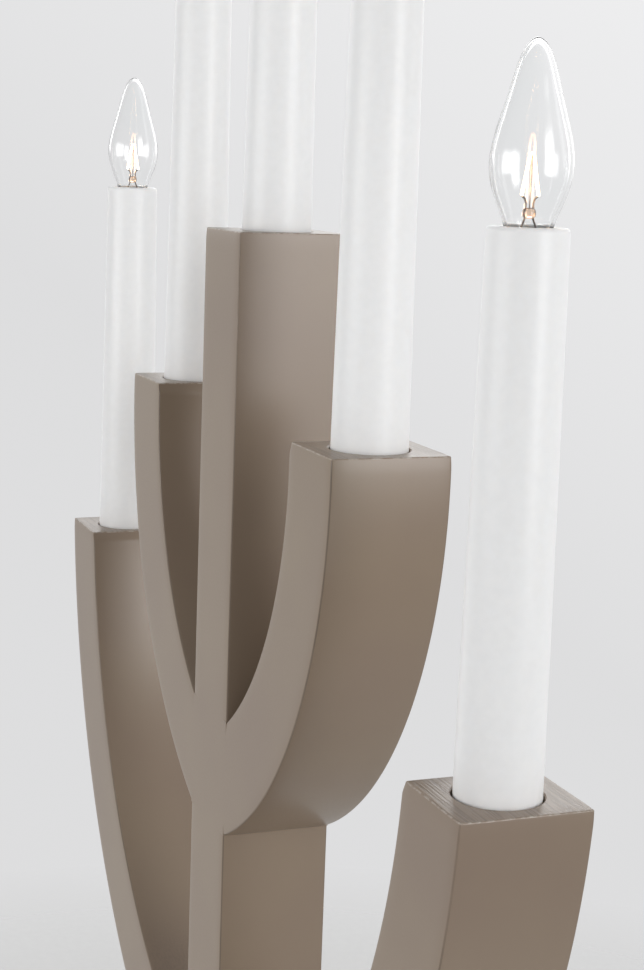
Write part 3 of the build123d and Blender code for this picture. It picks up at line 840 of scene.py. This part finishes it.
level = node(tree, "ShaderNodeMath", {0: slope, 1: BACKDROP_LEVEL[0]}, operation="ADD").outputs[0]
level = node(tree, "ShaderNodeMath", {0: level, 1: BACKDROP_LEVEL[1]}, operation="MAXIMUM").outputs[0]
inputs = {"Value": ray["Is Reflection Ray"], **ROOM_DARK}
dark = node(tree, "ShaderNodeMapRange", inputs).outputs["Result"]
share = node(tree, "ShaderNodeMapRange", {"Value": ahead, "To Min": dark, **ROOM_TURN}).outputs["Result"]
level = node(tree, "ShaderNodeMath", {0: level, 1: share}, operation="MULTIPLY").outputs[0]
backdrop = node(tree, "ShaderNodeBackground", {"Color": linear("#FEFEFF"), "Strength": level})
mixed = node(tree, "ShaderNodeMixShader", {0: seen, 1: light.outputs[0], 2: backdrop.outputs[0]})
node(tree, "ShaderNodeOutputWorld", {"Surface": mixed.outputs[0]})
print("room nodes:", len(tree.nodes))

# %% [markdown]
# ## Lights
# Softboxes on the left and in front light the faces that the camera sees, and a weak strip on the right
# lifts that side of the candles. Two narrow strips behind draw the bright edges of the glass, and a softbox
# behind and above makes the level tops the palest faces.

# %% Lights
SOFT_EDGE = 0.3  # share of a softbox's width, and of its height, over which each edge fades out
AIM = (0.0, 0.0, 0.28)  # middle of the arch, to which every light is turned
# Each light: place in metres, width and height in metres, power in watts
STUDIO = {
    "left softbox": ((0.05, -1.25, 0.35), (1.4, 0.7), 7.3),
    "right strip": ((0.55, 1.25, 0.95), (0.5, 2.0), 1.2),
    "front softbox": ((1.3, 0.5, 0.5), (0.8, 1.2), 9.5),
    "left edge strip": ((-1.9, -0.64, 0.7), (0.2, 1.0), 1.0),
    "right edge strip": ((-1.46, 1.65, 0.7), (0.28, 1.2), 1.0),
    "rear softbox": ((-1.75, 0.8, 1.1), (1.8, 0.9), 6.5),
}


def softbox(name, place, size, power):
    """Upright rectangular area light at a place in metres, turned towards the middle of the arch.

    Its light fades to nothing at the edges, as it does on a real softbox, whose lamp is in the middle. The
    fade keeps a share of 1 - SOFT_EDGE of the light each way, and the strength makes up for that.
    """
    lamp = bpy.data.lights.new(name, "AREA")
    lamp.shape = "RECTANGLE"
    lamp.size, lamp.size_y = size
    lamp.energy = power
    lamp.use_nodes = True
    tree = lamp.node_tree
    on_lamp = node(tree, "ShaderNodeNewGeometry").outputs["Parametric"]
    inputs = {0: on_lamp, 1: (0.5, 0.5, 0.0)}
    off = node(tree, "ShaderNodeVectorMath", inputs, operation="SUBTRACT").outputs[0]
    off = node(tree, "ShaderNodeVectorMath", {0: off}, operation="ABSOLUTE").outputs[0]
    across = node(tree, "ShaderNodeSeparateXYZ", {0: off}).outputs
    fade = {"From Min": 0.5, "From Max": 0.5 - SOFT_EDGE, "To Max": 1 / (1 - SOFT_EDGE)}
    smooth = {"interpolation_type": "SMOOTHSTEP"}
    wide = node(tree, "ShaderNodeMapRange", {"Value": across["X"], **fade}, **smooth).outputs["Result"]
    high = node(tree, "ShaderNodeMapRange", {"Value": across["Y"], **fade}, **smooth).outputs["Result"]
    both = node(tree, "ShaderNodeMath", {0: wide, 1: high}, operation="MULTIPLY").outputs[0]
    tree.links.new(both, tree.nodes["Emission"].inputs["Strength"])
    obj = bpy.data.objects.new(name, lamp)
    bpy.context.scene.collection.objects.link(obj)
    obj.location = place
    obj.rotation_euler = (Vector(AIM) - Vector(place)).to_track_quat("-Z", "Y").to_euler()
    print(name, "watts:", power)


for name, settings in STUDIO.items():
    softbox(name, *settings)

# %% [markdown]
# ## Camera
# The camera stands to the right of the arch, a little above it, and looks along it. Its place, turn and
# lens were worked out from straight edges and corners of the woodwork in the photograph.

# %% Camera
CAMERA_PLACE = (0.46387, -0.16670, 0.34177)  # metres
CAMERA_TURN = 68.573  # degrees from looking along Y, towards the left
CAMERA_TILT = 9.889  # degrees below level
CAMERA_ROLL = 2.073  # degrees about its own line of sight
LENS = 69.28  # mm
SENSOR = 36.0  # mm wide

camera_data = bpy.data.cameras.new("camera")
camera_data.sensor_width = SENSOR
camera_data.lens = LENS
camera_data.clip_start = 0.01
camera = bpy.data.objects.new("camera", camera_data)
bpy.context.scene.collection.objects.link(camera)
turn = Matrix.Rotation(np.radians(CAMERA_TURN), 4, "Z")
tilt = Matrix.Rotation(np.radians(90 - CAMERA_TILT), 4, "X")
roll = Matrix.Rotation(np.radians(CAMERA_ROLL), 4, "Z")
camera.matrix_world = Matrix.Translation(CAMERA_PLACE) @ turn @ tilt @ roll
bpy.context.scene.camera = camera
bpy.context.scene.view_settings.view_transform = "Standard"
print("camera lens:", LENS)
